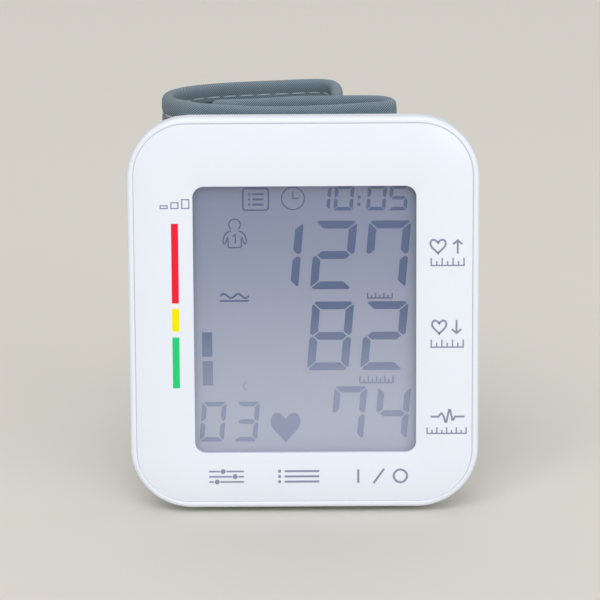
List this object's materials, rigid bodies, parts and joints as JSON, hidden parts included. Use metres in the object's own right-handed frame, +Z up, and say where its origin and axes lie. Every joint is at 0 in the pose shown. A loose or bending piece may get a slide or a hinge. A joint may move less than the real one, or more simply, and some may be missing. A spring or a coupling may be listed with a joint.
{
  "type": "wrist blood pressure monitor",
  "caption": "Wrist blood pressure monitor with a large display, three soft keys under a printed front panel and a rolled cloth cuff behind the case.",
  "frame": {"origin": "middle of the model's bounding box, on the surface that its lower edges stand on", "axes": "+X to the right as the display is read, +Y from the front face into the case towards the cuff, +Z up along the display"},
  "size_m": [0.075, 0.0588, 0.086],
  "materials": {
    "white_shell": "moulded ABS, satin",
    "printed_panel": "printed polycarbonate film, satin",
    "clear_lens": "clear acrylic window",
    "display_glass": "liquid crystal cell, grey-blue",
    "grey_plastic": "moulded ABS, matt",
    "rubber": "conductive elastomer",
    "circuit_board": "solder mask on glass fibre laminate",
    "dark_plastic": "moulded plastic, matt",
    "steel": "nickel-plated steel",
    "cell_wrap": "shrink sleeve on a steel can",
    "silicone": "translucent silicone hose",
    "cuff_cloth": "grey-blue woven nylon",
    "cuff_lining": "grey-blue brushed nylon lining",
    "fastener_patch": "hook and loop tape",
    "former_plastic": "springy plastic sheet",
    "bladder_rubber": "welded bladder film"
  },
  "bodies": {
    "case": {"front_cover": "white_shell", "front_panel": "printed_panel", "display_lens": "clear_lens", "display_cell": "display_glass", "display_frame": "grey_plastic", "elastomer_strip": "rubber", "rear_cover": "white_shell", "cuff_plate": "white_shell", "case_screw_1": "steel", "case_screw_2": "steel", "main_board": "circuit_board", "control_chip": "dark_plastic", "buzzer": "dark_plastic", "pressure_sensor": "grey_plastic", "set_switch": "dark_plastic", "memory_switch": "dark_plastic", "power_switch": "dark_plastic", "front_cell": "cell_wrap", "back_cell": "cell_wrap", "bridge_contact": "steel", "negative_contact": "steel", "positive_contact": "steel", "front_coil": "steel", "back_coil": "steel", "pump_motor": "steel", "pump_head": "dark_plastic", "exhaust_valve": "steel", "air_manifold": "dark_plastic", "pump_hose": "silicone", "valve_hose": "silicone", "sensor_hose": "silicone", "cuff_hose": "silicone", "cuff_base_cloth": "cuff_cloth", "cuff_base_former": "former_plastic", "cuff_base_bladder": "bladder_rubber", "cuff_base_lining": "cuff_lining"},
    "set_key": {"set_key": "grey_plastic"},
    "memory_key": {"memory_key": "grey_plastic"},
    "power_key": {"power_key": "grey_plastic"},
    "battery_door": {"battery_door": "white_shell"},
    "pump_crank": {"pump_crank": "dark_plastic"},
    "cuff_wrap": {"cuff_wrap_cloth": "cuff_cloth", "cuff_wrap_former": "former_plastic", "cuff_wrap_bladder": "bladder_rubber", "cuff_wrap_lining": "cuff_lining", "hook_patch": "fastener_patch"},
    "cuff_tail": {"cuff_tail_cloth": "cuff_cloth", "cuff_tail_pad": "former_plastic", "cuff_tail_lining": "cuff_lining", "loop_patch": "fastener_patch"}
  },
  "joints": [
    {"name": "set_press", "type": "slide", "parent": "case", "child": "set_key", "axis": [0, 1, 0], "range_m": [0, 0.00035], "stiffness_N_per_m": 900},
    {"name": "memory_press", "type": "slide", "parent": "case", "child": "memory_key", "axis": [0, 1, 0], "range_m": [0, 0.00035], "stiffness_N_per_m": 900},
    {"name": "power_press", "type": "slide", "parent": "case", "child": "power_key", "axis": [0, 1, 0], "range_m": [0, 0.00035], "stiffness_N_per_m": 900},
    {"name": "door_swing", "type": "hinge", "parent": "case", "child": "battery_door", "pos_m": [0.03393, -0.01168, 0.0677], "axis": [0.2444, -0.9697, 0], "range_deg": [0, 100]},
    {"name": "crank_spin", "type": "hinge", "parent": "case", "child": "pump_crank", "pos_m": [-0.02, -0.01324, 0.0426], "axis": [0, 0, 1], "continuous": true},
    {"name": "wrap_swing", "type": "hinge", "parent": "case", "child": "cuff_wrap", "pos_m": [-0.03112, 0.00763, 0.0409], "axis": [0, 0, 1], "range_deg": [0, 75]},
    {"name": "tail_swing", "type": "hinge", "parent": "case", "child": "cuff_tail", "pos_m": [0.0207, 0.00589, 0.0409], "axis": [0, 0, 1], "range_deg": [-60, 0]}
  ],
  "couplings": [
    {"joint": "tail_swing", "follows": "wrap_swing", "ratio": -0.75}
  ]
}
